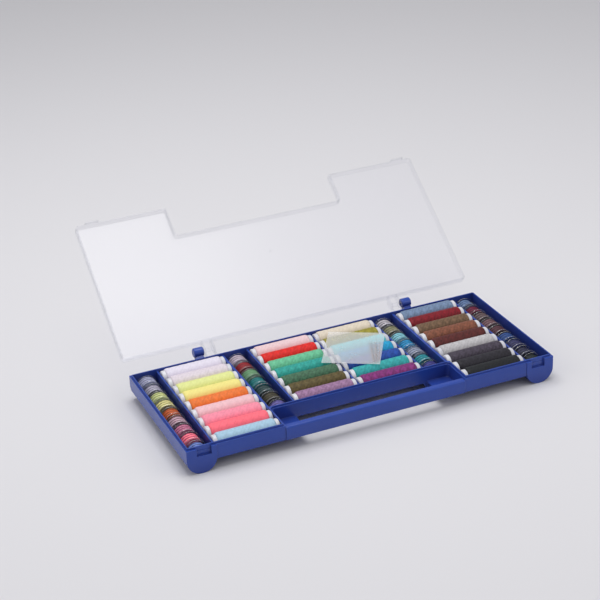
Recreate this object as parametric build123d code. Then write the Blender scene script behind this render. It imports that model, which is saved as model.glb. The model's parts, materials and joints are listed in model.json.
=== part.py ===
from build123d import *
import os
from math import cos, radians, sin

# Sewing box: a shallow blue case with four long bays for thread spools and four round-bottomed
# channels for bobbins, a clear lid hinged at the back, and the spools, bobbins and needles it holds.
# Millimetres, +X to the right, +Y to the back, +Z up. The case stands on its channels at Z = 0.

# ---- thread spools, lying across the bays ----
thread_r = 7.55          # outside of the wound thread
thread_shoulder_r = 6.2  # radius where the winding meets the collar
thread_shoulder = 3.2    # length of the tapered end of the winding
shoulder_mid = (0.4, 0.8)  # share of that length, and of the rise, where the taper bends
spool_len = 59.8         # core, end to end
collar_r = 6.3           # end collars of the core
collar_len = 3.5
collar_edge = 0.9        # rounding of a collar's outer rim
core_r = 4.4             # barrel under the thread
core_bore_r = 3.1
spool_gap = 0.25         # between neighbouring windings, and to the walls and floor
spool_end_gap = 0.3      # from the ends of a spool to the dividers
long_bay_count = 9       # spools in an outer bay
short_bay_count = 7      # spools in an inner bay, behind the handle

# ---- bobbins, standing on edge in the channels ----
bobbin_r = 10.15
bobbin_w = 11.7
flange_t = 0.9
hub_r = 4.1
hub_bore_r = 3.05
winding_r = 8.9          # thread wound on a bobbin
winding_gap = 0.08       # from the winding to the flanges and the hub
bobbin_side_gap = 0.95   # from the flanges to the channel's sides
bobbin_rest_gap = 0.3    # from the flanges to the channel's floor

# ---- case ----
wall = 2.4               # outer walls, channel shells, and the walls beside the handle
divider = 1.6            # walls between neighbouring cells
divider_drop = 2.0       # from the rim down to the tops of the walls between cells
floor_t = 1.8
bay_depth = 13.4         # from the rim down to a bay's floor
axis_drop = 12.0         # from the rim down to the centre of a channel's round bottom
foot_cut = 0.35          # flattened strip on which each channel stands
corner_r = 3.0           # corners of the case in plan
ledge_drop = 1.6         # the outer half of the rim is lower, and carries the lid
lid_side_gap = 0.35      # between the lid's wall and the raised inner half of the rim
proud = 0.8              # channel ends and handle stand this far out of the front and back walls
end_round = 0.5          # rounding of the channel ends

# ---- handle recess in the front ----
recess_r = 3.0           # back corners of the recess
handle_t = 6.6           # front to back
handle_drop = 2.8        # from the rim down to the handle's top
handle_round = 1.8
handle_core_wall = 1.8   # the handle is cored from below
finger_slot_end = 21.3   # from the recess's sides to the opening in its floor

# ---- lid ----
lid_wall = 1.1
lid_panel = 1.4
lid_rise = 6.0           # outside of the panel above the rim
lid_seat_gap = 0.2       # between the closed lid and the ledge
lid_edge_r = 0.8
gate_r = 1.1             # moulding gate's mark on the panel's outside
gate_up = 0.3
gate_y = 65.0            # from the front wall, on the middle line
open_angle = 143.8       # from closed to the stop
catch_from_end = 15.5    # centre of each catch, from the end of the case
catch_w = 12.4
catch_len = 4.0          # below the lid's wall
catch_side_gap = 0.3
catch_back_gap = 0.35
catch_well = 8.8         # depth of the catch pocket below the rim
bead_r = 0.5             # snap bead on the catch
bead_out = 0.5           # how far the bead stands out of the catch
bead_gap = 0.15          # clearance of the closed bead in its groove
bead_up = 1.1            # bead centre above the catch's lower edge

# ---- hinge ----
hinge_back = 9.2         # pin axis behind the back wall
hinge_up = 0.5           # pin axis above the rim
lug_out = 17.7           # centre of each lug, outwards from an outer bay's inner side
lug_w = 9.6              # barrel, end to end
lug_r = 4.4
lug_round = 1.2          # rounding of the barrel's ends
lug_root_top = 6.0       # where the lug leaves the back wall, below the rim
lug_root = 9.0           # height of the lug's root
lug_upper_deg = 115.0    # where the lug's web meets its barrel, from straight up towards the case
lug_lower_deg = 50.0     # and from straight down towards the back
pin_r = 1.8              # pins on the ears, which run in blind bores in the lugs
pin_in = 6.0             # how far a pin reaches into its lug
pin_gap = 0.05           # radial running clearance
ear_w = 10.6             # over both of its cheeks
cheek_t = 1.4
ear_r = 3.6
ear_gap = 0.4            # from an ear to its lug, and past the pin's end
ear_root = 4.8           # height of the ear's root on the lid's back wall
ear_root_up = 0.4        # the root's lower edge, above the lid's
heel_t = 3.0             # stop heel, at its end
heel_drop = 4.4          # middle of the heel's end below the pin axis, with the lid open
stop_gap = 0.2           # from the heel to the back wall when the lid is fully open

# ---- needle packet, lying on the spools ----
packet_w = 52.0
packet_len = 59.0
packet_t = 1.5
packet_film = 0.25
packet_turn = -31.0      # in plan
packet_x = 20.9          # its centre, from the middle of the case
packet_y = 89.6          # its centre, from the front wall
packet_gap = 0.3         # above the spools
needle_r = 0.3
needle_count = 8
point_in = 1.3           # last needle's point, in from the packet's right edge
point_step = 0.66        # from one needle's point to the next
point_up = 2.5           # points, up from the packet's near edge
eye_in = 3.2             # last needle's eye, in from the right edge
eye_step = 1.47
eye_up = 42.0            # last needle's eye, up from the near edge
eye_rise = 0.45          # each needle reaches this much further than the one before it

overcut = 1.0            # cutting shapes run this far past the faces they open

# ---- colours of the thread, back to front, one list per bay ----
bay_threads = {
    "a": ["lilac_white", "pink_white", "lime_yellow", "pale_yellow", "orange", "light_pink",
          "rose_pink", "coral_pink", "pale_aqua"],
    "b": ["shell_pink", "red", "light_green", "teal", "dark_sea_green", "olive_brown", "mauve"],
    "c": ["cream", "olive_yellow", "pale_turquoise", "sky_blue", "blue", "turquoise", "plum"],
    "d": ["steel_blue", "dark_red", "khaki", "brown", "russet", "light_grey", "slate_grey",
          "charcoal", "black"],
}

# ---- worked-out sizes ----
spool_pitch = 2 * thread_r + spool_gap
channel_r = bobbin_r + bobbin_side_gap
channel_w = 2 * channel_r
bay_w = spool_len + 2 * spool_end_gap
shell_r = channel_r + wall
ledge_w = lid_wall + lid_side_gap
case_len = 4 * wall + 4 * channel_w + 4 * bay_w + 5 * divider
case_depth = 2 * wall + long_bay_count * spool_pitch + spool_gap
recess_depth = (long_bay_count - short_bay_count) * spool_pitch
recess_w = case_len - 2 * (2 * wall + channel_w + divider + bay_w)
finger_slot_len = recess_w - 2 * finger_slot_end
catch_x = case_len / 2 - catch_from_end
lug_x = recess_w / 2 + wall + lug_out
channel_z = shell_r - foot_cut
rim_z = channel_z + axis_drop
floor_z = rim_z - bay_depth
under_z = floor_z - floor_t
ledge_z = rim_z - ledge_drop
handle_top = rim_z - handle_drop
handle_back = handle_t - proud
spool_z = floor_z + spool_gap + thread_r
bobbin_z = channel_z - channel_r + bobbin_rest_gap + bobbin_r
hinge_y = case_depth + hinge_back
hinge_z = rim_z + hinge_up
lid_low = ledge_z + lid_seat_gap
lid_high = rim_z + lid_rise
packet_low = spool_z + thread_r + packet_gap

# cells from left to right: kind, spool letter, and whether the handle recess shortens it
cells = [
    ("channel", 1, False), ("bay", "a", False), ("channel", 2, True), ("bay", "b", True),
    ("bay", "c", True), ("channel", 3, True), ("bay", "d", False), ("channel", 4, False),
]
partitions = [divider, wall, divider, divider, divider, wall, divider]


def cell_width(kind):
    return channel_w if kind == "channel" else bay_w


def cell_centres():
    centres = []
    x = -case_len / 2 + wall
    for (kind, _, _), gap in zip(cells, partitions + [wall]):
        centres.append(x + cell_width(kind) / 2)
        x += cell_width(kind) + gap
    return centres


def row_y(row):
    return case_depth - wall - spool_gap - thread_r - row * spool_pitch


def cell_span(short):
    # front and back of a cell's hollow
    front = recess_depth if short else 0
    return front + wall, case_depth - wall


def slab(plan, low, high):
    return extrude(Pos(0, 0, low) * plan, amount=high - low)


def recess_plan(inset=0.0):
    reach = 2 * (recess_depth + inset)
    return RectangleRounded(recess_w + 2 * inset, reach, recess_r + inset)


def case_plan(inset=0.0):
    # the case seen from above, without the recess, drawn in by inset all round
    plan = Pos(0, case_depth / 2) * RectangleRounded(
        case_len - 2 * inset, case_depth - 2 * inset, corner_r - inset
    )
    return plan - recess_plan(inset)


def side_profile(points, x, width):
    # a closed outline in Y and Z, made width wide and centred on x
    face = Plane.YZ * make_face(Polyline(*points, close=True))
    return Pos(x - width / 2, 0, 0) * extrude(face, amount=width)


def drum(x, width, radius, y=None, z=None):
    # a cylinder along X, on the hinge axis unless placed elsewhere
    at = Pos(x, hinge_y if y is None else y, hinge_z if z is None else z)
    return at * Rot(0, 90, 0) * Cylinder(radius, width)


def channel_shell(x, front, back):
    # round-bottomed outside of a bobbin channel, standing on a flat strip
    length = back - front
    y = (front + back) / 2
    tube = Cylinder(shell_r, length)
    tube = fillet(tube.edges().filter_by(GeomType.CIRCLE), end_round)
    tube = Pos(x, y, channel_z) * Rot(90, 0, 0) * tube
    tube -= Pos(x, y, -shell_r) * Box(2 * shell_r, length, 2 * shell_r)
    tube -= Pos(x, y, ledge_z + shell_r) * Box(2 * shell_r, length, 2 * shell_r)
    upper = ledge_z - channel_z
    sides = Box(2 * shell_r, length, upper)
    sides = fillet(sides.edges().filter_by(Axis.Z), end_round)
    return tube + Pos(x, y, channel_z + upper / 2) * sides


def channel_hollow(x, front, back):
    length = back - front
    y = (front + back) / 2
    hollow = Pos(x, y, channel_z) * Rot(90, 0, 0) * Cylinder(channel_r, length)
    upper = rim_z + overcut - channel_z
    return hollow + Pos(x, y, channel_z + upper / 2) * Box(channel_w, length, upper)


def divider_tops():
    # what is taken off the walls between cells, from inside the front wall to inside the back wall
    height = divider_drop + overcut
    tops = []
    for n, (centre, gap) in enumerate(zip(cell_centres(), partitions)):
        x = centre + (cell_width(cells[n][0]) + gap) / 2
        front, back = cell_span(cells[n][2] or cells[n + 1][2])
        top = Pos(x, (front + back) / 2, rim_z - divider_drop + height / 2)
        tops.append(top * Box(gap + overcut, back - front, height))
    return tops


def lug(side):
    # a barrel on a narrower web
    x = side * lug_x
    top = rim_z - lug_root_top
    upper, lower = radians(lug_upper_deg), radians(lug_lower_deg)
    web = side_profile(
        [
            (case_depth - wall / 2, top - lug_root), (case_depth - wall / 2, top),
            (hinge_y - lug_r * sin(upper), hinge_z + lug_r * cos(upper)),
            (hinge_y + lug_r * sin(lower), hinge_z - lug_r * cos(lower)),
        ],
        x,
        lug_w - 2 * lug_round,
    )
    barrel = drum(x, lug_w, lug_r)
    return web + fillet(barrel.edges().filter_by(GeomType.CIRCLE), lug_round)


def drum_between(side, start, end, radius):
    # start and end are measured outwards from the lug's inner end
    inner = lug_x - lug_w / 2
    return drum(side * (inner + (start + end) / 2), end - start, radius)


def about_hinge(degrees):
    at = Pos(0, hinge_y, hinge_z)
    return at * Rot(degrees, 0, 0) * at.inverse()


def cheek(x):
    # closed: an arm from the lid's back wall to the pin, and the heel that stops the open lid
    root_y = case_depth - lid_wall / 2
    root_z = lid_low + ear_root_up
    arm = side_profile(
        [
            (root_y, root_z), (root_y, root_z + ear_root),
            (hinge_y, hinge_z + ear_r), (hinge_y, hinge_z - ear_r),
        ],
        x,
        cheek_t,
    )
    # with the lid open the heel's flat end leans against the case's back wall
    end_y = case_depth + stop_gap
    end_z = hinge_z - heel_drop
    heel = side_profile(
        [
            (hinge_y, hinge_z), (hinge_y, hinge_z - ear_r),
            (end_y, end_z - heel_t / 2), (end_y, end_z + heel_t / 2),
        ],
        x,
        cheek_t,
    )
    return arm + drum(x, cheek_t, ear_r) + about_hinge(open_angle) * heel


def ear(side):
    # two cheeks joined by the pin
    middle = lug_x - lug_w / 2 - ear_gap - ear_w / 2
    reach = (ear_w - cheek_t) / 2
    cheeks = cheek(side * (middle - reach)) + cheek(side * (middle + reach))
    return cheeks + drum_between(side, -ear_gap - ear_w, pin_in, pin_r)


def catch_pocket(side):
    width = catch_w + 2 * catch_side_gap
    back = lid_wall + catch_back_gap
    low = rim_z - catch_well
    height = ledge_z - low
    reach = proud + overcut
    pocket = Pos(side * catch_x, (back - reach) / 2, low + height / 2)
    pocket *= Box(width, back + reach, height)
    groove_z = lid_low - catch_len + bead_up
    groove_y = lid_wall + bead_out - bead_r
    return pocket + drum(side * catch_x, width, bead_r + bead_gap, groove_y, groove_z)


def make_tray():
    body = slab(case_plan(), under_z, rim_z)
    deck = Pos(0, (recess_depth + wall) / 2) * Rectangle(recess_w + 2 * wall, recess_depth + wall)
    body += slab(deck & Pos(0, case_depth / 2) * Rectangle(case_len, case_depth), under_z, floor_z)
    bar = Pos(0, handle_back - handle_t / 2, (under_z + handle_top) / 2) * Box(
        recess_w, handle_t, handle_top - under_z
    )
    bar = fillet(bar.faces().sort_by(Axis.Z)[-1].edges().filter_by(Axis.X), handle_round)
    body += bar
    centres = cell_centres()
    for x, (kind, _, short) in zip(centres, cells):
        if kind == "channel":
            front = recess_depth if short else -proud
            body += channel_shell(x, front, case_depth + proud)
    # the lid's ledge runs round the outside of the rim
    margin = 2 * (proud + overcut)
    frame = Pos(0, case_depth / 2) * Rectangle(case_len + margin, case_depth + margin)
    body -= slab(frame - case_plan(ledge_w), ledge_z, rim_z + overcut)
    for x, (kind, _, short) in zip(centres, cells):
        front, back = cell_span(short)
        if kind == "channel":
            body -= channel_hollow(x, front, back)
        else:
            height = rim_z + overcut - floor_z
            body -= Pos(x, (front + back) / 2, floor_z + height / 2) * Box(
                bay_w, back - front, height
            )
    body -= divider_tops()
    slot_y = (handle_back + recess_depth) / 2
    body -= Pos(0, slot_y, (under_z + floor_z) / 2) * Box(
        finger_slot_len, recess_depth - handle_back, floor_t + 2 * overcut
    )
    core_h = handle_top - handle_core_wall - under_z
    body -= Pos(0, handle_back - handle_t / 2, under_z + core_h / 2) * Box(
        finger_slot_len, handle_t - 2 * handle_core_wall, core_h
    )
    for side in (-1, 1):
        body += lug(side)
        body -= drum_between(side, -overcut, pin_in + ear_gap, pin_r + pin_gap)
        body -= catch_pocket(side)
    return body


def make_lid():
    # modelled closed
    shell = slab(case_plan(), lid_low, lid_high)
    shell = fillet(shell.faces().sort_by(Axis.Z)[-1].edges(), lid_edge_r)
    shell -= slab(case_plan(lid_wall), lid_low - overcut, lid_high - lid_panel)
    shell += Pos(0, gate_y, lid_high) * Cylinder(gate_r, 2 * gate_up)
    for side in (-1, 1):
        top = lid_low + lid_wall
        low = lid_low - catch_len
        tab = Pos(side * catch_x, lid_wall / 2, (top + low) / 2) * Box(
            catch_w, lid_wall, top - low
        )
        bead = drum(side * catch_x, catch_w, bead_r, lid_wall + bead_out - bead_r, low + bead_up)
        shell += tab + bead + ear(side)
    return shell


def revolve_x(points):
    face = make_face(Polyline(*points, close=True))
    return revolve(face, axis=Axis.X)


def make_spool(x, y):
    half = spool_len / 2
    inner = half - collar_len
    core = revolve_x(
        [
            (-half, core_bore_r), (-half, collar_r - collar_edge), (-half + collar_edge, collar_r),
            (-inner, collar_r), (-inner, core_r), (inner, core_r), (inner, collar_r),
            (half - collar_edge, collar_r), (half, collar_r - collar_edge), (half, core_bore_r),
        ]
    )
    end = inner - winding_gap
    bore = core_r + winding_gap
    run, rise = shoulder_mid
    bend = end - run * thread_shoulder
    bend_r = thread_shoulder_r + rise * (thread_r - thread_shoulder_r)
    winding = revolve_x(
        [
            (-end, bore), (-end, thread_shoulder_r), (-bend, bend_r),
            (-end + thread_shoulder, thread_r), (end - thread_shoulder, thread_r),
            (bend, bend_r), (end, thread_shoulder_r), (end, bore),
        ]
    )
    at = Pos(x, y, spool_z)
    return [at * core, at * winding]


def make_bobbin(x, y):
    half = bobbin_w / 2
    inner = half - flange_t
    shell = revolve_x(
        [
            (-half, hub_bore_r), (-half, bobbin_r), (-inner, bobbin_r), (-inner, hub_r),
            (inner, hub_r), (inner, bobbin_r), (half, bobbin_r), (half, hub_bore_r),
        ]
    )
    end = inner - winding_gap
    bore = hub_r + winding_gap
    winding = revolve_x([(-end, bore), (-end, winding_r), (end, winding_r), (end, bore)])
    at = Pos(x, y, bobbin_z) * Rot(0, 0, 90)
    return at * shell, at * winding


def packet_place():
    return Pos(packet_x, packet_y, packet_low + packet_t / 2) * Rot(0, 0, packet_turn)


def make_packet():
    pouch = Box(packet_w, packet_len, packet_t)
    hollow = Box(packet_w - 2 * packet_film, packet_len - packet_film, packet_t - 2 * packet_film)
    return packet_place() * (pouch - Pos(0, packet_film, 0) * hollow)


def make_needles():
    needles = []
    edge_u, edge_v = packet_w / 2, -packet_len / 2
    for n in range(needle_count):
        left = needle_count - 1 - n
        point = Vector(edge_u - point_in - left * point_step, edge_v + point_up, 0)
        eye = Vector(edge_u - eye_in - left * eye_step, edge_v + eye_up - left * eye_rise, 0)
        way = eye - point
        shank = Plane(origin=point, z_dir=way) * extrude(Circle(needle_r), amount=way.length)
        needles.append(packet_place() * shank)
    return needles


def build():
    nodes = {"tray": [make_tray()], "lid": [about_hinge(-open_angle) * make_lid()]}
    for x, (kind, name, short) in zip(cell_centres(), cells):
        rows = short_bay_count if short else long_bay_count
        if kind == "channel":
            pairs = [make_bobbin(x, row_y(row)) for row in range(rows)]
            nodes[f"bobbins_{name}"] = [shell for shell, _ in pairs]
            nodes[f"bobbin_thread_{name}"] = [winding for _, winding in pairs]
        else:
            for row in range(rows):
                colour = bay_threads[name][row % len(bay_threads[name])]
                nodes[f"spool_{name}{row + 1}_{colour}"] = make_spool(x, row_y(row))
    nodes["needle_packet"] = [make_packet()]
    nodes["needles"] = make_needles()
    return nodes


def main():
    nodes = build()
    # the origin is under the middle of everything, with the lid open
    front = nodes["tray"][0].bounding_box().min.Y
    back = nodes["lid"][0].bounding_box().max.Y
    middle = (front + back) / 2
    os.makedirs("parts", exist_ok=True)
    for name, solids in nodes.items():
        placed = [Pos(0, -middle, 0) * s for s in solids]
        shape = placed[0] if len(placed) == 1 else Compound(children=placed)
        export_step(shape, f"parts/{name}.step")
    print("case", round(case_len, 2), "x", round(case_depth, 2), "rim", round(rim_z, 2))
    print("middle", round(middle, 3), "hinge", round(hinge_y - middle, 3), round(hinge_z, 3))


main()
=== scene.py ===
import json
import random
from math import atan2, pi, radians, sqrt

import bmesh
import bpy
from mathutils import Matrix, Vector


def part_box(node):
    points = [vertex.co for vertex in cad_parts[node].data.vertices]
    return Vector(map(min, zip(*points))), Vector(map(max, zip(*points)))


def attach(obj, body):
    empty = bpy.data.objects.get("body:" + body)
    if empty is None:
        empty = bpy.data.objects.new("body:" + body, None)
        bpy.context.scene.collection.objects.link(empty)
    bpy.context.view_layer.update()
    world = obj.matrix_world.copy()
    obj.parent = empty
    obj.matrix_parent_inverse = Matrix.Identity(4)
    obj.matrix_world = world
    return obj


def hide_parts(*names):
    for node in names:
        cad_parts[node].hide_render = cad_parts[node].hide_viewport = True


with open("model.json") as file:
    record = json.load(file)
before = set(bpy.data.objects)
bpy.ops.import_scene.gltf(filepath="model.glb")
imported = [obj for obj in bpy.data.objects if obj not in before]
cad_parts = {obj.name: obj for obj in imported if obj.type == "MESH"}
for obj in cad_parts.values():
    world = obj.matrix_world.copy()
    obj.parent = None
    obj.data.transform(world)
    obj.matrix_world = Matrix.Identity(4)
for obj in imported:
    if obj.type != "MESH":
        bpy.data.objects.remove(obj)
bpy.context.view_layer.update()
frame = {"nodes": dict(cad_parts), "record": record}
mm = 0.001
random.seed(41)
bodyOf = {
    node: body
    for body, members in frame["record"]["behaviour"]["bodies"].items()
    for node in members
}
print("frame loaded:", len(frame["nodes"]), "nodes")

# camera, floor and lamps

shot = {
    "place": (-531.44, -1235.90, 731.53),  # mm
    "turn": (63.443, 2.231, -24.045),  # degrees about X, Y and Z
    "lens": 99.09,
    "sensor": 36.0,
    "sight": (0.05, 60.0),  # nearest and farthest that it sees, in metres
}


def placeCamera():
    lens = bpy.data.cameras.new("studioCamera")
    lens.lens = shot["lens"]
    lens.sensor_width = shot["sensor"]
    lens.clip_start, lens.clip_end = shot["sight"]
    camera = bpy.data.objects.new("studioCamera", lens)
    camera.location = Vector(shot["place"]) * mm
    camera.rotation_euler = [radians(angle) for angle in shot["turn"]]
    bpy.context.scene.collection.objects.link(camera)
    bpy.context.scene.camera = camera


def toLinear(hexText):
    channels = [int(hexText[i : i + 2], 16) / 255 for i in (0, 2, 4)]
    linear = [c / 12.92 if c <= 0.04045 else ((c + 0.055) / 1.055) ** 2.4 for c in channels]
    return (*linear, 1.0)


def addNode(tree, kind, settings=None, links=None):
    # settings are socket values or properties; links are input sockets and the outputs they read
    node = tree.nodes.new("ShaderNode" + kind)
    for key, value in (settings or {}).items():
        if isinstance(key, int) or key in node.inputs:
            node.inputs[key].default_value = value
        else:
            setattr(node, key, value)
    for key, source in (links or {}).items():
        tree.links.new(source, node.inputs[key])
    return node


def startMaterial(name, settings):
    material = bpy.data.materials.new(name)
    material.use_nodes = True
    tree = material.node_tree
    shader = tree.nodes["Principled BSDF"]
    for key, value in settings.items():
        shader.inputs[key].default_value = value
    return material, tree, shader


def deselectAll():
    if bpy.context.object and bpy.context.object.mode != "OBJECT":
        bpy.ops.object.mode_set(mode="OBJECT")
    bpy.ops.object.select_all(action="DESELECT")


studio = {
    "floorSize": 16.0,
    "floorColour": "DAD9DC",
    "floorRoughness": 0.9,
    "worldColour": "F4F4F7",
    "worldPower": 0.54,
    "lamps": {
        # place and size in metres, power in watts
        "overheadSoftbox": ((-0.02, 0.12, 1.25), (0.74, 1.1), 9.2),
        "leftFill": ((-1.7, 0.1, 0.9), (1.2, 1.2), 4.5),
        "rightFill": ((1.2, -1.1, 1.2), (1.0, 1.0), 4.2),
    },
}


def layFloor():
    deselectAll()
    bpy.ops.mesh.primitive_plane_add(size=studio["floorSize"])
    floor = bpy.context.object
    floor.name = "paperFloor"
    # matt seamless paper
    material, _, _ = startMaterial(
        "seamlessPaper",
        {
            "Base Color": toLinear(studio["floorColour"]),
            "Roughness": studio["floorRoughness"],
        },
    )
    floor.data.materials.append(material)


def hangLamps():
    world = bpy.data.worlds.new("studioAir")
    bpy.context.scene.world = world
    world.use_nodes = True
    sky = world.node_tree.nodes["Background"]
    sky.inputs["Color"].default_value = toLinear(studio["worldColour"])
    sky.inputs["Strength"].default_value = studio["worldPower"]
    for name, (place, size, power) in studio["lamps"].items():
        light = bpy.data.lights.new(name, "AREA")
        light.shape = "RECTANGLE"
        light.size, light.size_y = size
        light.energy = power
        lamp = bpy.data.objects.new(name, light)
        lamp.location = place
        lamp.rotation_euler = (-Vector(place)).to_track_quat("-Z", "Y").to_euler()
        bpy.context.scene.collection.objects.link(lamp)


placeCamera()
layFloor()
hangLamps()
bpy.context.scene.view_settings.view_transform = "Standard"
print("camera, floor and lamps placed")

# materials

casePlastic = {
    "colour": "2448A6",
    "shade": "1E3F99",
    "hollow": "2C3B84",  # painted shade, deep in corners, grooves and recesses
    "hollowReach": 26.0 * mm,
    "hollowFrom": 0.25,  # share of open sky around a point that still gets the full painted shade
    "hollowTo": 0.95,
    "edgeHighlightAndWear": "4C74D4",  # painted highlight along edges, partly rubbed wear: paler at edges
    "edgeHighlightFrom": 0.99,  # cosine of the turn at an edge where the painted highlight and wear start
    "edgeHighlightTo": 0.8,
    "edgeHighlightShare": 0.5,
    "flow": 38.0,  # cloudy flow marks, one per 26 mm
    "roughness": (0.17, 0.3),
    "grain": 1100.0,  # spark-eroded grain of the tool, drawn at 0.9 mm
    "grainBump": 0.12,
    "grainHeight": 0.05 * mm,
    "edge": 0.5 * mm,
}
edgeSamples = 6


def findEdges(tree, radius):
    # the normal with edges rounded, and its cosine to the flat one, which falls at edges
    rounded = addNode(tree, "Bevel", {"samples": edgeSamples, "Radius": radius}).outputs[0]
    flat = addNode(tree, "NewGeometry").outputs["Normal"]
    turned = addNode(tree, "VectorMath", {"operation": "DOT_PRODUCT"}, {0: rounded, 1: flat})
    return rounded, turned.outputs["Value"]


def makeCasePlastic():
    # polypropylene, injection moulded in a spark-eroded tool: deep colour under a soft gloss,
    # with painted shade in corners, grooves and recesses and a painted highlight along edges,
    # partly rubbed wear
    look = casePlastic
    material, tree, shader = startMaterial("mouldedPolypropylene", {"IOR": 1.49})
    place = addNode(tree, "TexCoord").outputs["Object"]
    flow = addNode(tree, "TexNoise", {"Scale": look["flow"], "Detail": 3.0}, {"Vector": place})
    tint = addNode(
        tree,
        "Mix",
        {"data_type": "RGBA", 6: toLinear(look["shade"]), 7: toLinear(look["colour"])},
        {0: flow.outputs[0]},
    )
    smooth, rough = look["roughness"]
    gloss = addNode(
        tree, "MapRange", {"To Min": smooth, "To Max": rough}, {"Value": flow.outputs[0]}
    )
    grain = addNode(tree, "TexNoise", {"Scale": look["grain"], "Detail": 2.0}, {"Vector": place})
    rounded, turned = findEdges(tree, look["edge"])
    # painted highlight along the edges, partly rubbed wear
    edgeHighlight = addNode(
        tree,
        "MapRange",
        {"From Min": look["edgeHighlightFrom"], "From Max": look["edgeHighlightTo"], "To Max": look["edgeHighlightShare"]},
        {"Value": turned},
    )
    # painted shade in corners, grooves and recesses, from how much open sky a point sees
    reach = addNode(
        tree, "AmbientOcclusion", {"samples": 8, "Distance": look["hollowReach"]}
    )
    lit = addNode(
        tree,
        "MapRange",
        {"From Min": look["hollowFrom"], "From Max": look["hollowTo"]},
        {"Value": reach.outputs["AO"]},
    )
    highlightedAndWorn = addNode(
        tree,
        "Mix",
        {"data_type": "RGBA", 7: toLinear(look["edgeHighlightAndWear"])},
        {0: edgeHighlight.outputs[0], 6: tint.outputs[2]},
    )
    cornerShaded = addNode(
        tree,
        "Mix",
        {"data_type": "RGBA", 6: toLinear(look["hollow"])},
        {0: lit.outputs[0], 7: highlightedAndWorn.outputs[2]},
    )
    bump = addNode(
        tree,
        "Bump",
        {"Strength": look["grainBump"], "Distance": look["grainHeight"]},
        {"Height": grain.outputs[0], "Normal": rounded},
    )
    tree.links.new(cornerShaded.outputs[2], shader.inputs["Base Color"])
    tree.links.new(gloss.outputs[0], shader.inputs["Roughness"])
    tree.links.new(bump.outputs[0], shader.inputs["Normal"])
    return material


def glaze(material, look):
    # a clear moulding, seen through without bending: a mirror gloss that grows at a slant,
    # edges and slants darkened by painted shade, standing in for the light that bending would
    # lose, and a slight haze
    tree = material.node_tree
    tree.nodes.remove(tree.nodes["Principled BSDF"])
    rounded, turned = findEdges(tree, look["edge"])
    corner = addNode(
        tree,
        "MapRange",
        {"From Min": look["flatAt"], "From Max": look["cornerAt"]},
        {"Value": turned},
    )
    slant = addNode(tree, "LayerWeight", {"Blend": 0.5}, {"Normal": rounded})
    glance = addNode(
        tree, "Math", {"operation": "POWER", 1: look["falloff"]}, {0: slant.outputs["Facing"]}
    )
    dim = addNode(
        tree, "Math", {"operation": "MAXIMUM"}, {0: glance.outputs[0], 1: corner.outputs[0]}
    )
    # painted shade: the clear tint darkens at edges and at a slant
    tint = addNode(
        tree,
        "Mix",
        {"data_type": "RGBA", 6: toLinear(look["tint"]), 7: toLinear(look["edgeShade"])},
        {0: dim.outputs[0]},
    )
    clear = addNode(tree, "BsdfTransparent", None, {"Color": tint.outputs[2]})
    fog = addNode(tree, "BsdfDiffuse", {"Color": toLinear(look["hazeColour"])})
    milk = addNode(
        tree,
        "MapRange",
        {"To Min": look["haze"], "To Max": look["edgeHaze"]},
        {"Value": corner.outputs[0]},
    )
    body = addNode(
        tree, "MixShader", None, {0: milk.outputs[0], 1: clear.outputs[0], 2: fog.outputs[0]}
    )
    mirror = addNode(
        tree,
        "BsdfGlossy",
        {"Color": (1.0, 1.0, 1.0, 1.0), "Roughness": look["roughness"]},
        {"Normal": rounded},
    )
    share = addNode(
        tree,
        "MapRange",
        {"To Min": look["headOn"], "To Max": look["grazing"]},
        {"Value": dim.outputs[0]},
    )
    skin = addNode(
        tree, "MixShader", None, {0: share.outputs[0], 1: body.outputs[0], 2: mirror.outputs[0]}
    )
    tree.links.new(skin.outputs[0], tree.nodes["Material Output"].inputs["Surface"])


# headOn and grazing are the mirror's share seen square and at a slant, falloff how fast it grows,
# flatAt and cornerAt the cosines at which an edge starts and is full
lidPlastic = {
    "tint": "FEFEFF",
    # painted shade at the lid's edges and slants
    "edgeShade": "B4B7C0",
    "haze": 0.008,
    "edgeHaze": 0.02,
    "hazeColour": "F4F4F6",
    "roughness": 0.27,
    "headOn": 0.021,
    "grazing": 0.28,
    "falloff": 5.0,
    "edge": 0.35 * mm,
    "flatAt": 0.999,
    "cornerAt": 0.75,
}


def makeLidPlastic():
    # crystal polystyrene, moulded in a polished tool: glass-clear
    material, _, _ = startMaterial("crystalPolystyrene", {})
    glaze(material, lidPlastic)
    return material


bobbinPlastic = {
    "tint": "FAFBFD",
    # painted shade at the bobbins' edges and slants
    "edgeShade": "E2E5EA",
    "haze": 0.01,
    "edgeHaze": 0.3,
    "hazeColour": "F2F3F6",
    "roughness": 0.12,
    "headOn": 0.018,
    "grazing": 0.45,
    "falloff": 4.0,
    "edge": 0.3 * mm,
    "flatAt": 0.999,
    "cornerAt": 0.8,
}
bobbinRims = {**bobbinPlastic, "haze": 0.12, "roughness": 0.16, "headOn": 0.16}


def makeBobbinPlastic():
    # clear polystyrene bobbins, moulded and polished
    material, _, _ = startMaterial("clearBobbinStyrene", {})
    glaze(material, bobbinPlastic)
    return material


def makeBobbinRims():
    # the same styrene at the flanges' rims, frosted by wear and lit from inside the flange
    material, _, _ = startMaterial("frostedBobbinStyrene", {})
    glaze(material, bobbinRims)
    return material


corePlastic = {
    "colour": "EDEEF3",
    "shade": "B4B3BC",
    "cloud": 70.0,  # painted shade: uneven whiteness, greyer in random patches, one patch per 14 mm
    "roughness": (0.24, 0.42),
}


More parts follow.
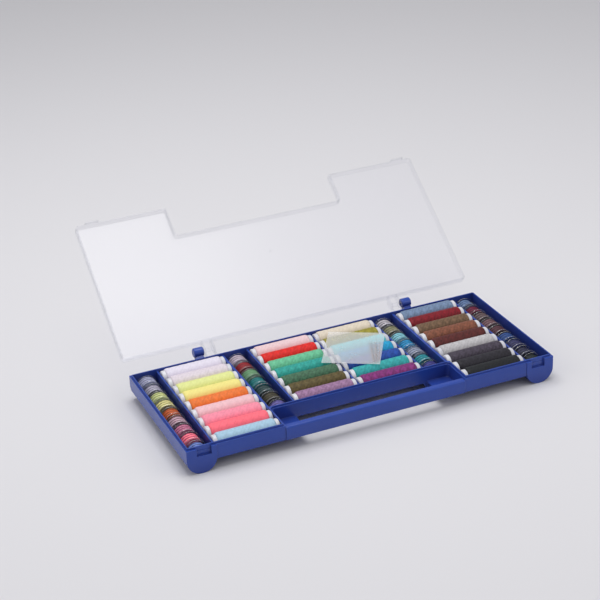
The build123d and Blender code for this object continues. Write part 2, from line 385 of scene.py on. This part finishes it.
def makeCorePlastic():
    # white polystyrene spool cores, moulded: smooth, with painted shade that makes them greyer in
    # random patches
    material, tree, shader = startMaterial("whitePolystyrene", {"IOR": 1.57})
    place = addNode(tree, "TexCoord").outputs["Object"]
    cloud = addNode(
        tree, "TexNoise", {"Scale": corePlastic["cloud"], "Detail": 4.0}, {"Vector": place}
    )
    shade, colour = toLinear(corePlastic["shade"]), toLinear(corePlastic["colour"])
    # painted shade laid in random patches
    tint = addNode(
        tree, "Mix", {"data_type": "RGBA", 6: shade, 7: colour}, {0: cloud.outputs[0]}
    )
    smooth, rough = corePlastic["roughness"]
    gloss = addNode(
        tree, "MapRange", {"To Min": smooth, "To Max": rough}, {"Value": cloud.outputs[0]}
    )
    tree.links.new(tint.outputs[2], shader.inputs["Base Color"])
    tree.links.new(gloss.outputs[0], shader.inputs["Roughness"])
    return material


# dyes of the threads on the spools
threadHex = {
    "lilac_white": "E0DAE8",
    "pink_white": "DCD1DA",
    "lime_yellow": "DFE495",
    "pale_yellow": "F0E388",
    "orange": "E87632",
    "light_pink": "ECBEC4",
    "rose_pink": "F48EA4",
    "coral_pink": "FF6E7E",
    "pale_aqua": "A4C6DB",
    "shell_pink": "E6C8CB",
    "red": "D8221C",
    "light_green": "66B990",
    "teal": "2A9A8F",
    "dark_sea_green": "40674E",
    "olive_brown": "584C2A",
    "mauve": "947093",
    "cream": "DBCFBD",
    "olive_yellow": "948B33",
    "pale_turquoise": "6CCDD4",
    "sky_blue": "1E95C2",
    "blue": "1E479A",
    "turquoise": "32A0A0",
    "plum": "7A2B6E",
    "steel_blue": "6F84A2",
    "dark_red": "780E1E",
    "khaki": "6C543F",
    "brown": "7C4B38",
    "russet": "532120",
    "light_grey": "B8B6B8",
    "slate_grey": "423B48",
    "charcoal": "26242C",
    "black": "191C20",
}
# and on the bobbins, with painted shade: darker and bluer, standing in for the shade in the
# channels and the blue light from their walls
shadedBobbinHex = {
    "lilac_white": "9799B3",
    "pink_white": "9B97A8",
    "lime_yellow": "B8BF80",
    "pale_yellow": "CCC584",
    "orange": "B15329",
    "light_pink": "B08E9B",
    "rose_pink": "B36785",
    "coral_pink": "EC6F83",
    "pale_aqua": "6175B2",
    "shell_pink": "AFA0AE",
    "red": "832128",
    "light_green": "648F69",
    "teal": "1E6B6D",
    "dark_sea_green": "2C4345",
    "olive_brown": "3C392C",
    "mauve": "5D5691",
    "cream": "A7A2AA",
    "olive_yellow": "78775C",
    "pale_turquoise": "72ACB8",
    "sky_blue": "2682B2",
    "lavender_grey": "80879B",
    "turquoise": "227F8A",
    "plum": "373679",
    "steel_blue": "586E94",
    "dark_red": "601432",
    "khaki": "5B4B4E",
    "brown": "674B51",
    "russet": "4C2D36",
    "dusk_blue": "294479",
    "slate_grey": "313257",
    "charcoal": "2A2B42",
    "black": "1C2425",
}
thread = {
    "crossTurns": 11,  # turns of each fine helix around a spool
    "crossRows": 15,  # its passes over the length, drawn at 3.5 mm: real thread is 0.25 mm
    "diamondTurns": 3,
    "diamondRows": 7.4,
    "flatRows": 3.2,  # layers that stand out across a bobbin, 3.2 mm each
    "fineRows": 16.0,  # turns across a bobbin, drawn at 0.64 mm
    "stray": 130.0,  # how often a turn wanders off its line, every 8 mm
    "clump": 560.0,  # uneven patches where turns bunch up, 1.8 mm
    "roughness": 0.48,
    "gloss": 0.3,
    "sheen": 0.05,
    "sheenRoughness": 0.4,
    "bump": 0.5,
    "bumpHeight": 0.12 * mm,
}
# the two ways of winding: how far turns wander around and along, the share of fine turns in the
# relief, the relief against the patches, and the depths that get the darkest painted shade and
# the lightest painted highlight
windingLook = {
    "cross": {"wander": (0.06, 0.03, 0.0), "fine": 0.45, "relief": 0.45, "depths": (0.4, 0.95)},
    "flat": {"wander": (0.05, 0.09, 0.0), "fine": 0.2, "relief": 0.7, "depths": (0.5, 1.1)},
}
crossSwing = 0.45  # contrast of the painted shade and highlight on the darkest thread on a spool
crossShades = (0.9, 1.1)  # shares of it painted as shade below the dye and as highlight above it
# lowest and highest multiples of the dye on bobbins: painted shade between the turns and painted
# highlight on them
flatShades = (0.3, 1.6)
flatPale = 0.25  # how much less the painted highlight brightens the pale threads on bobbins


def makeThread(colour, style):
    # spun polyester sewing thread: a soft sheen, with painted shade in dark lines where the turns
    # lie in and painted highlight on the turns
    look = windingLook[style]
    # the bobbins' dyes carry painted shade
    dye = toLinear((threadHex if style == "cross" else shadedBobbinHex)[colour])
    material, tree, shader = startMaterial(
        "spunPolyester_" + style + "_" + colour,
        {
            "Roughness": thread["roughness"],
            "IOR": 1.45,
            "Specular IOR Level": thread["gloss"],
            "Sheen Weight": thread["sheen"],
            "Sheen Roughness": thread["sheenRoughness"],
            "Sheen Tint": dye,
        },
    )
    place = addNode(tree, "TexCoord").outputs["Object"]
    stray = addNode(
        tree, "TexNoise", {"Scale": thread["stray"], "Detail": 1.0}, {"Vector": place}
    )
    wrap = addNode(tree, "UVMap", {"uv_map": "around"})
    around = addNode(
        tree,
        "VectorMath",
        {"operation": "MULTIPLY_ADD", 1: look["wander"]},
        {0: stray.outputs["Color"], 2: wrap.outputs[0]},
    ).outputs[0]

    def ridges(turns, rows):
        phase = addNode(
            tree,
            "VectorMath",
            {"operation": "DOT_PRODUCT", 1: (2 * pi * turns, 2 * pi * rows, 0.0)},
            {0: around},
        )
        wave = addNode(tree, "Math", {"operation": "SINE"}, {0: phase.outputs["Value"]})
        return addNode(
            tree, "MapRange", {"From Min": -1.0, "From Max": 1.0}, {"Value": wave.outputs[0]}
        ).outputs[0]

    # painted shade and highlight: light threads look smoother, dark ones show lighter flecks
    luminance = 0.21 * dye[0] + 0.72 * dye[1] + 0.07 * dye[2]
    light = (max(dye[:3]) + luminance) / 2
    if style == "cross":
        left = ridges(thread["crossTurns"], thread["crossRows"])
        right = ridges(-thread["crossTurns"], thread["crossRows"])
        over = addNode(
            tree,
            "Math",
            {"operation": "MULTIPLY"},
            {
                0: ridges(thread["diamondTurns"], thread["diamondRows"]),
                1: ridges(-thread["diamondTurns"], thread["diamondRows"]),
            },
        )
        turnsHeight = addNode(
            tree, "Mix", {"data_type": "FLOAT"}, {0: over.outputs[0], 2: left, 3: right}
        ).outputs[0]
        layers = over.outputs[0]
        swing = crossSwing * (1 - light) ** 1.5
        low, high = 1 - crossShades[0] * swing, 1 + crossShades[1] * swing
    else:
        turnsHeight = ridges(1, thread["fineRows"])
        layers = ridges(1, thread["flatRows"])
        low, high = flatShades[0], flatShades[1] - flatPale * light
    height = addNode(
        tree, "Mix", {"data_type": "FLOAT", 0: look["fine"]}, {2: layers, 3: turnsHeight}
    ).outputs[0]
    fuzz = addNode(
        tree, "TexNoise", {"Scale": thread["clump"], "Detail": 4.0}, {"Vector": place}
    )
    depth = addNode(
        tree,
        "Math",
        {"operation": "MULTIPLY_ADD", 1: look["relief"]},
        {0: height, 2: fuzz.outputs[0]},
    )
    darkest, lightest = look["depths"]
    # painted shade in the grooves and painted highlight on the turns, from the relief's depth
    shade = addNode(
        tree,
        "MapRange",
        {"From Min": darkest, "From Max": lightest, "To Min": low, "To Max": high},
        {"Value": depth.outputs[0]},
    )
    tint = addNode(
        tree, "VectorMath", {"operation": "SCALE", 0: dye[:3]}, {"Scale": shade.outputs[0]}
    )
    bump = addNode(
        tree,
        "Bump",
        {"Strength": thread["bump"], "Distance": thread["bumpHeight"]},
        {"Height": depth.outputs[0]},
    )
    tree.links.new(tint.outputs[0], shader.inputs["Base Color"])
    tree.links.new(bump.outputs[0], shader.inputs["Normal"])
    return material


threadMaterials = {}


def threadOf(colour, style):
    key = (colour, style)
    if key not in threadMaterials:
        threadMaterials[key] = makeThread(colour, style)
    return threadMaterials[key]


packetPlastic = {
    "colour": "F4F5F7",
    "cover": 0.27,  # how much of what lies under it the film hides
    "weldedCover": 0.42,
    "cloud": 120.0,  # patches of haze, 8 mm
    "roughness": (0.2, 0.38),
    "crease": 90.0,  # one crease per 11 mm
    "creaseBump": 0.3,
    "creaseHeight": 0.3 * mm,
}


def makeFilm(name, cover):
    # blown polyethylene film: hazy, with a soft shine on its folds, and whiter where it is welded
    look = packetPlastic
    material, tree, shader = startMaterial(
        name, {"Base Color": toLinear(look["colour"]), "Alpha": cover, "IOR": 1.51}
    )
    place = addNode(tree, "TexCoord").outputs["Object"]
    cloud = addNode(tree, "TexNoise", {"Scale": look["cloud"], "Detail": 3.0}, {"Vector": place})
    smooth, rough = look["roughness"]
    gloss = addNode(
        tree, "MapRange", {"To Min": smooth, "To Max": rough}, {"Value": cloud.outputs[0]}
    )
    crease = addNode(
        tree, "TexNoise", {"Scale": look["crease"], "Detail": 1.0}, {"Vector": place}
    )
    bump = addNode(
        tree,
        "Bump",
        {"Strength": look["creaseBump"], "Distance": look["creaseHeight"]},
        {"Height": crease.outputs[0]},
    )
    tree.links.new(gloss.outputs[0], shader.inputs["Roughness"])
    tree.links.new(bump.outputs[0], shader.inputs["Normal"])
    return material


# the third, dark steel is painted shade, standing in for the shadows between the needles
needleHex = {"nickel": "E6E6EC", "gilt": "C9A08C", "shadowDark": "75777F"}
needleWear = {"scale": 600.0, "roughness": (0.16, 0.34)}  # drawing marks, one per 1.7 mm


def makeNeedleSteel(plating):
    # drawn steel wire, plated and polished; the dark one is painted shade
    material, tree, shader = startMaterial(
        plating + "PlatedSteel", {"Base Color": toLinear(needleHex[plating]), "Metallic": 1.0}
    )
    place = addNode(tree, "TexCoord").outputs["Object"]
    draw = addNode(
        tree, "TexNoise", {"Scale": needleWear["scale"], "Detail": 2.0}, {"Vector": place}
    )
    smooth, rough = needleWear["roughness"]
    gloss = addNode(
        tree, "MapRange", {"To Min": smooth, "To Max": rough}, {"Value": draw.outputs[0]}
    )
    tree.links.new(gloss.outputs[0], shader.inputs["Roughness"])
    return material


blueCase = makeCasePlastic()
clearLid = makeLidPlastic()
clearBobbin = makeBobbinPlastic()
frostedRim = makeBobbinRims()
whiteCore = makeCorePlastic()
needleSteels = [makeNeedleSteel(plating) for plating in needleHex]
packetFilm = makeFilm("polyethyleneFilm", packetPlastic["cover"])
weldedFilm = makeFilm("weldedPolyethylene", packetPlastic["weldedCover"])
print("materials mixed")

# helpers for the pieces
near = 0.01 * mm  # points this close to a plane lie in it
ringNear = 0.06 * mm  # and this close to a circle lie on it


def pick(piece, kind, test):
    # selects the vertices, edges or faces that pass the test, in edit mode
    mesh = bmesh.from_edit_mesh(piece.data)
    for group in (mesh.faces, mesh.edges, mesh.verts):
        for element in group:
            element.select = False
    for element in getattr(mesh, kind):
        if test(element):
            element.select_set(True)
    bmesh.update_edit_mesh(piece.data)


def farFromX(point):
    return sqrt(point.y**2 + point.z**2)


def alongX(edge):
    return abs(edge.verts[0].co.x - edge.verts[1].co.x)


def applyAll(piece):
    bpy.context.view_layer.objects.active = piece
    for modifier in list(piece.modifiers):
        bpy.ops.object.modifier_apply(modifier=modifier.name)


def smoothBy(piece, degrees):
    deselectAll()
    piece.select_set(True)
    bpy.context.view_layer.objects.active = piece
    bpy.ops.object.shade_smooth_by_angle(angle=radians(degrees))


def addTube(name, around, radius, length):
    # a closed cylinder along the X axis
    deselectAll()
    bpy.ops.mesh.primitive_cylinder_add(
        vertices=around,
        radius=radius * mm,
        depth=length * mm,
        end_fill_type="NGON",
        rotation=(0.0, pi / 2, 0.0),
    )
    piece = bpy.context.object
    piece.name = name
    bpy.ops.object.transform_apply(location=False, rotation=True, scale=False)
    return piece


def copyPiece(model, name, move):
    piece = bpy.data.objects.new(name, model.data.copy())
    piece.data.name = name
    piece.data.transform(move)
    bpy.context.scene.collection.objects.link(piece)
    return piece


def dress(piece, material):
    piece.data.materials.clear()
    piece.data.materials.append(material)


def stand(piece, node, material=None):
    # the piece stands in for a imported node, in its own finishes if none is given
    if material:
        dress(piece, material)
    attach(piece, bodyOf[node])
    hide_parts(node)


def middleOf(node):
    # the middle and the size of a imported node's box
    low, high = (Vector(corner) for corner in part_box(node))
    return (low + high) / 2, high - low


def wrapAround(piece, length):
    # u runs once around the X axis, v from end to end
    layer = piece.data.uv_layers.new(name="around")
    mesh = piece.data
    for face in mesh.polygons:
        middle = atan2(face.center.z, face.center.y)
        for corner in face.loop_indices:
            point = mesh.vertices[mesh.loops[corner].vertex_index].co
            angle = atan2(point.z, point.y)
            if angle - middle > pi:
                angle -= 2 * pi
            if middle - angle > pi:
                angle += 2 * pi
            layer.data[corner].uv = (angle / (2 * pi) + 0.5, point.x / (length * mm) + 0.5)
    mesh.uv_layers.active = layer


def pressIn(piece, turns, rows, depth):
    # presses one family of helical grooves into a winding; turns and rows count them
    stripe = 2 * pi / 20  # UV length of one stripe of the bands texture
    source = piece.data.uv_layers["around"].data
    layer = piece.data.uv_layers.new(name="grooves")
    for corner, loop in enumerate(layer.data):
        u, v = source[corner].uv
        loop.uv = (stripe * turns * u, stripe * rows * v)
    bands = bpy.data.textures.new("windingGrooves", "WOOD")
    bands.wood_type = "BANDS"
    bands.noise_basis_2 = "SIN"
    groove = piece.modifiers.new("grooves", "DISPLACE")
    groove.texture = bands
    groove.texture_coords = "UV"
    groove.uv_layer = "grooves"
    groove.mid_level = 1.0
    groove.strength = depth * mm
    applyAll(piece)
    piece.data.uv_layers.remove(piece.data.uv_layers["grooves"])


# thread spools

spool = {
    "length": 59.8,
    "collarRadius": 6.3,
    "collarLength": 3.5,
    "rim": 1.1,
    "barrelRadius": 4.4,
    "boreRadius": 3.1,
    "boreDepth": 12.0,
    "boreRim": 0.35,
    "windingRadius": 7.55,
    "shoulderRadius": 6.1,
    "shoulder": 3.2,
    "shoulderCurve": 2.4,  # 2 is a round shoulder, more a squarer one
    "coreAround": 36,
    "around": 48,
    "rings": 66,
    "grooveDepth": 0.07,
}


def makeSpoolCore():
    core = addTube("coreModel", spool["coreAround"], spool["collarRadius"], spool["length"])
    half = spool["length"] * mm / 2
    barrelEnd = half - spool["collarLength"] * mm
    bpy.ops.object.mode_set(mode="EDIT")
    for side in (-1, 1):
        bpy.ops.mesh.select_all(action="SELECT")
        bpy.ops.mesh.bisect(plane_co=(side * barrelEnd, 0, 0), plane_no=(1, 0, 0))
    bpy.ops.mesh.select_mode(type="FACE")
    pick(core, "faces", lambda f: abs(f.calc_center_median().x) < mm and abs(f.normal.x) < 0.5)
    bpy.ops.mesh.extrude_region_move()
    slim = spool["barrelRadius"] / spool["collarRadius"]
    bpy.ops.transform.resize(value=(1, slim, slim), center_override=(0, 0, 0))
    # the bore is sunk into both ends
    pick(core, "faces", lambda f: abs(f.calc_center_median().x) > half - near)
    bpy.ops.mesh.inset(thickness=(spool["collarRadius"] - spool["boreRadius"]) * mm)
    bore = spool["boreRadius"] * mm

    def atBore(point, side):
        return side * point.x > half - near and farFromX(point) < bore + ringNear

    for side in (-1, 1):
        pick(core, "faces", lambda f: all(atBore(v.co, side) for v in f.verts))
        bpy.ops.mesh.extrude_region_move(
            TRANSFORM_OT_translate={"value": (-side * spool["boreDepth"] * mm, 0, 0)}
        )
    bpy.ops.mesh.select_mode(type="EDGE")

    def onRim(point, radius):
        return abs(abs(point.x) - half) < near and abs(farFromX(point) - radius) < ringNear

    pick(core, "edges", lambda e: all(onRim(v.co, spool["collarRadius"] * mm) for v in e.verts))
    bpy.ops.mesh.bevel(offset=spool["rim"] * mm, segments=4, affect="EDGES")
    pick(core, "edges", lambda e: all(onRim(v.co, bore) for v in e.verts))
    bpy.ops.mesh.bevel(offset=spool["boreRim"] * mm, segments=2, affect="EDGES")
    smoothBy(core, 40)
    return core


def makeSpoolWinding():
    length = spool["length"] - 2 * spool["collarLength"]
    winding = addTube("windingModel", spool["around"], spool["windingRadius"], length)
    half = length * mm / 2
    bpy.ops.object.mode_set(mode="EDIT")
    bpy.ops.mesh.select_mode(type="EDGE")
    pick(winding, "edges", lambda e: alongX(e) > mm)
    bpy.ops.mesh.subdivide(number_cuts=spool["rings"])
    bpy.ops.mesh.select_mode(type="VERT")
    # the ends taper in rounded shoulders
    step = length / (spool["rings"] + 1)
    for side in (-1, 1):
        for ring in range(int(spool["shoulder"] / step) + 1):
            reach = 1 - ring * step / spool["shoulder"]
            rise = sqrt(max(0.0, 1 - reach ** spool["shoulderCurve"]))
            radius = spool["shoulderRadius"]
            radius += (spool["windingRadius"] - radius) * rise
            place = side * (half - ring * step * mm)
            pick(winding, "verts", lambda v: abs(v.co.x - place) < step * mm / 4)
            scale = radius / spool["windingRadius"]
            bpy.ops.transform.resize(value=(1, scale, scale), center_override=(place, 0, 0))
    bpy.ops.object.mode_set(mode="OBJECT")
    wrapAround(winding, length)
    pressIn(winding, thread["diamondTurns"], thread["diamondRows"], spool["grooveDepth"])
    pressIn(winding, -thread["diamondTurns"], thread["diamondRows"], spool["grooveDepth"])
    smoothBy(winding, 60)
    return winding


coreModel = makeSpoolCore()
windingModel = makeSpoolWinding()
spoolNodes = sorted(name for name in frame["nodes"] if name.startswith("spool_"))
for node in spoolNodes:
    _, place, colour = node.split("_", 2)
    centre, _ = middleOf(node)
    twist = Matrix.Translation(centre) @ Matrix.Rotation(random.uniform(0, 2 * pi), 4, "X")
    stand(copyPiece(coreModel, "core_" + place, twist), node, whiteCore)
    winding = copyPiece(windingModel, "winding_" + place + "_" + colour, twist)
    stand(winding, node, threadOf(colour, "cross"))
print("spools wound:", len(spoolNodes))

# bobbins

bobbin = {
    "radius": 10.15,
    "width": 11.7,
    "flange": 0.65,
    "rim": 0.3,
    "hubRadius": 4.1,
    "boreRadius": 3.05,
    "holeRadius": 1.25,
    "holeCircle": 6.4,
    "holes": 6,
    "windingRadius": 9.2,
    "windingGap": 0.08,
    "fullness": (0.9, 1.0),  # share of the full winding that a bobbin still carries
    "shellAround": 48,
    "boreAround": 24,
    "holeAround": 16,
    "hubAround": 32,
    "around": 40,
    "rings": 44,
    "grooveDepth": 0.14,
}
bobbinColours = {
    1: ["lilac_white", "pink_white", "lime_yellow", "pale_yellow", "orange", "light_pink",
        "rose_pink", "coral_pink", "pale_aqua"],
    2: ["shell_pink", "red", "light_green", "teal", "dark_sea_green", "olive_brown", "mauve"],
    3: ["cream", "olive_yellow", "pale_turquoise", "sky_blue", "lavender_grey", "turquoise",
        "plum"],
    4: ["steel_blue", "dark_red", "khaki", "brown", "russet", "dusk_blue", "slate_grey",
        "charcoal", "black"],
}


def makeBobbinShell():
    shell = addTube("bobbinModel", bobbin["shellAround"], bobbin["radius"], bobbin["width"])
    half = bobbin["width"] * mm / 2
    inner = half - bobbin["flange"] * mm
    bpy.ops.object.mode_set(mode="EDIT")
    for side in (-1, 1):
        bpy.ops.mesh.select_all(action="SELECT")
        bpy.ops.mesh.bisect(plane_co=(side * inner, 0, 0), plane_no=(1, 0, 0))
    bpy.ops.mesh.select_mode(type="FACE")
    pick(shell, "faces", lambda f: abs(f.calc_center_median().x) < mm and abs(f.normal.x) < 0.5)
    bpy.ops.mesh.extrude_region_move()
    slim = bobbin["hubRadius"] / bobbin["radius"]
    bpy.ops.transform.resize(value=(1, slim, slim), center_override=(0, 0, 0))
    # rounded rims
    bpy.ops.mesh.select_mode(type="EDGE")

    rim = bobbin["radius"] * mm - ringNear
    pick(
        shell,
        "edges",
        lambda e: all(farFromX(v.co) > rim for v in e.verts) and alongX(e) < near,
    )
    bpy.ops.mesh.bevel(offset=bobbin["rim"] * mm, segments=2, affect="EDGES")
    bpy.ops.object.mode_set(mode="OBJECT")
    # the bore and a ring of sight holes
    through = 2 * bobbin["width"]
    cutters = [addTube("boreModel", bobbin["boreAround"], bobbin["boreRadius"], through)]
    for n in range(bobbin["holes"]):
        hole = addTube("holeModel", bobbin["holeAround"], bobbin["holeRadius"], through)
        turn = Matrix.Rotation(2 * pi * n / bobbin["holes"], 4, "X")
        hole.data.transform(turn @ Matrix.Translation((0, bobbin["holeCircle"] * mm, 0)))
        cutters.append(hole)
    for cutter in cutters:
        cut = shell.modifiers.new("bore", "BOOLEAN")
        cut.operation = "DIFFERENCE"
        cut.solver = "EXACT"
        cut.object = cutter
    applyAll(shell)
    for cutter in cutters:
        bpy.data.objects.remove(cutter)
    smoothBy(shell, 35)
    dress(shell, clearBobbin)
    shell.data.materials.append(frostedRim)
    points = shell.data.vertices
    rimStart = (bobbin["radius"] - bobbin["rim"]) * mm - ringNear
    for face in shell.data.polygons:
        face.material_index = int(all(farFromX(points[n].co) > rimStart for n in face.vertices))
    return shell


def makeBobbinWinding():
    length = bobbin["width"] - 2 * bobbin["flange"] - 2 * bobbin["windingGap"]
    winding = addTube("bobbinWinding", bobbin["around"], bobbin["windingRadius"], length)
    bpy.ops.object.mode_set(mode="EDIT")
    bpy.ops.mesh.select_mode(type="EDGE")
    pick(winding, "edges", lambda e: alongX(e) > mm)
    bpy.ops.mesh.subdivide(number_cuts=bobbin["rings"])
    bpy.ops.object.mode_set(mode="OBJECT")
    wrapAround(winding, length)
    pressIn(winding, 1, thread["fineRows"], bobbin["grooveDepth"])
    # open in the middle, where the hub passes
    passage = bobbin["hubRadius"] + bobbin["windingGap"]
    hub = addTube("hubCutter", bobbin["hubAround"], passage, 2 * length)
    cut = winding.modifiers.new("hub", "BOOLEAN")
    cut.operation = "DIFFERENCE"
    cut.solver = "EXACT"
    cut.object = hub
    applyAll(winding)
    bpy.data.objects.remove(hub)
    smoothBy(winding, 50)
    return winding


bobbinModel = makeBobbinShell()
bobbinWinding = makeBobbinWinding()
lengthwise = Matrix.Rotation(pi / 2, 4, "Z")
for channel, colours in bobbinColours.items():
    shells = f"bobbins_{channel}"
    windings = f"bobbin_thread_{channel}"
    centre, size = middleOf(shells)
    pitch = (size.y - bobbin["width"] * mm) / (len(colours) - 1)
    for row, colour in enumerate(colours):
        place = centre + Vector((0, pitch * ((len(colours) - 1) / 2 - row), 0))
        turn = Matrix.Rotation(random.uniform(0, 2 * pi), 4, "X")
        fill = random.uniform(*bobbin["fullness"])
        move = Matrix.Translation(place) @ lengthwise @ turn
        name = f"{channel}_{row + 1}"
        shell = copyPiece(bobbinModel, "bobbin_" + name, move)
        stand(shell, shells)
        full = move @ Matrix.Diagonal((1, fill, fill, 1))
        winding = copyPiece(bobbinWinding, f"bobbinThread_{name}_{colour}", full)
        stand(winding, windings, threadOf(colour, "flat"))
print("bobbins filled")

# needle packet

packet = {
    "width": 52.0,
    "length": 59.0,
    "turn": -31.0,  # degrees, seen from above
    "thickness": 1.2,
    "seam": 0.12,  # share of that thickness left at the welded edges
    "weld": 0.7,  # width of the weld
    "swell": 4.0,  # from an edge to where the pouch is full
    "cuts": 34,
    "ripple": 0.7,
    "rippleScale": 16.0,
}
needle = {
    "count": 8,
    "around": 10,
    "length": 39.0,
    "radius": 0.3,
    "pointAt": (20.08, -27.0),  # first needle's point, from the packet's middle
    "pointStep": 0.66,
    "eyeAt": (12.51, 9.35),
    "eyeStep": (1.47, 0.45),
    "taper": 7.0,
    "tip": 0.12,  # share of the radius left at the point
    "head": 0.5,  # length of the rounded head
    "headEnd": 0.45,  # share of the radius left at its end
    "eyeFrom": 1.4,  # from the head's end to the eye
    "eyeLength": 3.2,
    "eyeWidth": 0.26,
}
packetMiddle, _ = middleOf("needle_packet")
packetPlace = Matrix.Translation(packetMiddle) @ Matrix.Rotation(radians(packet["turn"]), 4, "Z")


def insetOf(point):
    # how far a point of the flat pouch lies inside its nearest edge
    return min(
        packet["width"] * mm / 2 - abs(point.x), packet["length"] * mm / 2 - abs(point.y)
    )


def makePacket():
    deselectAll()
    bpy.ops.mesh.primitive_grid_add(
        x_subdivisions=packet["cuts"], y_subdivisions=packet["cuts"], size=1.0
    )
    film = bpy.context.object
    film.name = "packetPouch"
    film.scale = (packet["width"] * mm, packet["length"] * mm, 1)
    bpy.ops.object.transform_apply(location=False, rotation=False, scale=True)
    inside = film.vertex_groups.new(name="inside")
    for point in film.data.vertices:
        full = min(1.0, insetOf(point.co) / (packet["swell"] * mm))
        inside.add([point.index], full, "REPLACE")
    ripple = bpy.data.textures.new("filmRipple", "CLOUDS")
    ripple.noise_scale = packet["rippleScale"] * mm
    wave = film.modifiers.new("ripple", "DISPLACE")
    wave.texture = ripple
    wave.texture_coords = "LOCAL"
    wave.strength = packet["ripple"] * mm
    wave.vertex_group = "inside"
    layers = film.modifiers.new("layers", "SOLIDIFY")
    layers.thickness = packet["thickness"] * mm
    layers.offset = 0.0
    layers.vertex_group = "inside"
    layers.thickness_vertex_group = packet["seam"]
    applyAll(film)
    smoothBy(film, 60)
    dress(film, packetFilm)
    film.data.materials.append(weldedFilm)
    for face in film.data.polygons:
        face.material_index = int(insetOf(face.center) < packet["weld"] * mm)
    film.data.transform(packetPlace)
    return film


def makeNeedle():
    # one needle along X, its point at 0 and its eye at the far end
    length = needle["length"]
    shank = addTube("needleModel", needle["around"], needle["radius"], length)
    shank.data.transform(Matrix.Translation((length * mm / 2, 0, 0)))
    bpy.ops.object.mode_set(mode="EDIT")
    eyeStart = length - needle["eyeLength"] - 2 * needle["head"]
    for place in (needle["taper"], eyeStart, length - needle["head"]):
        bpy.ops.mesh.select_all(action="SELECT")
        bpy.ops.mesh.bisect(plane_co=(place * mm, 0, 0), plane_no=(1, 0, 0))
    bpy.ops.mesh.select_mode(type="VERT")
    ends = ((0, needle["tip"]), (length * mm, needle["headEnd"]))
    for end, share in ends:
        pick(shank, "verts", lambda v: abs(v.co.x - end) < near)
        bpy.ops.transform.resize(value=(1, share, share), center_override=(end, 0, 0))
    bpy.ops.object.mode_set(mode="OBJECT")
    deselectAll()
    bpy.ops.mesh.primitive_cube_add(
        size=1.0,
        location=((length - needle["eyeFrom"] - needle["eyeLength"] / 2) * mm, 0, 0),
        scale=(needle["eyeLength"] * mm, needle["eyeWidth"] * mm, 2 * mm),
    )
    slot = bpy.context.object
    cut = shank.modifiers.new("eye", "BOOLEAN")
    cut.operation = "DIFFERENCE"
    cut.solver = "EXACT"
    cut.object = slot
    applyAll(shank)
    bpy.data.objects.remove(slot)
    smoothBy(shank, 35)
    return shank


pouch = makePacket()
stand(pouch, "needle_packet")
needleModel = makeNeedle()
for n in range(needle["count"]):
    point = Vector((*needle["pointAt"], 0)) + Vector((n * needle["pointStep"], 0, 0))
    eye = Vector((*needle["eyeAt"], 0)) + n * Vector((*needle["eyeStep"], 0))
    way = eye - point
    stretch = way.length / needle["length"]
    move = (
        packetPlace
        @ Matrix.Translation(point * mm)
        @ way.to_track_quat("X", "Z").to_matrix().to_4x4()
        @ Matrix.Diagonal((stretch, 1, 1, 1))
    )
    # every third needle is the dark steel of painted shade
    steel = needleSteels[n % len(needleSteels)]
    stand(copyPiece(needleModel, f"needle_{n + 1}", move), "needles", steel)
print("packet and needles laid")

# case and lid

dress(frame["nodes"]["tray"], blueCase)
dress(frame["nodes"]["lid"], clearLid)
for model in (coreModel, windingModel, bobbinModel, bobbinWinding, needleModel):
    bpy.data.objects.remove(model)
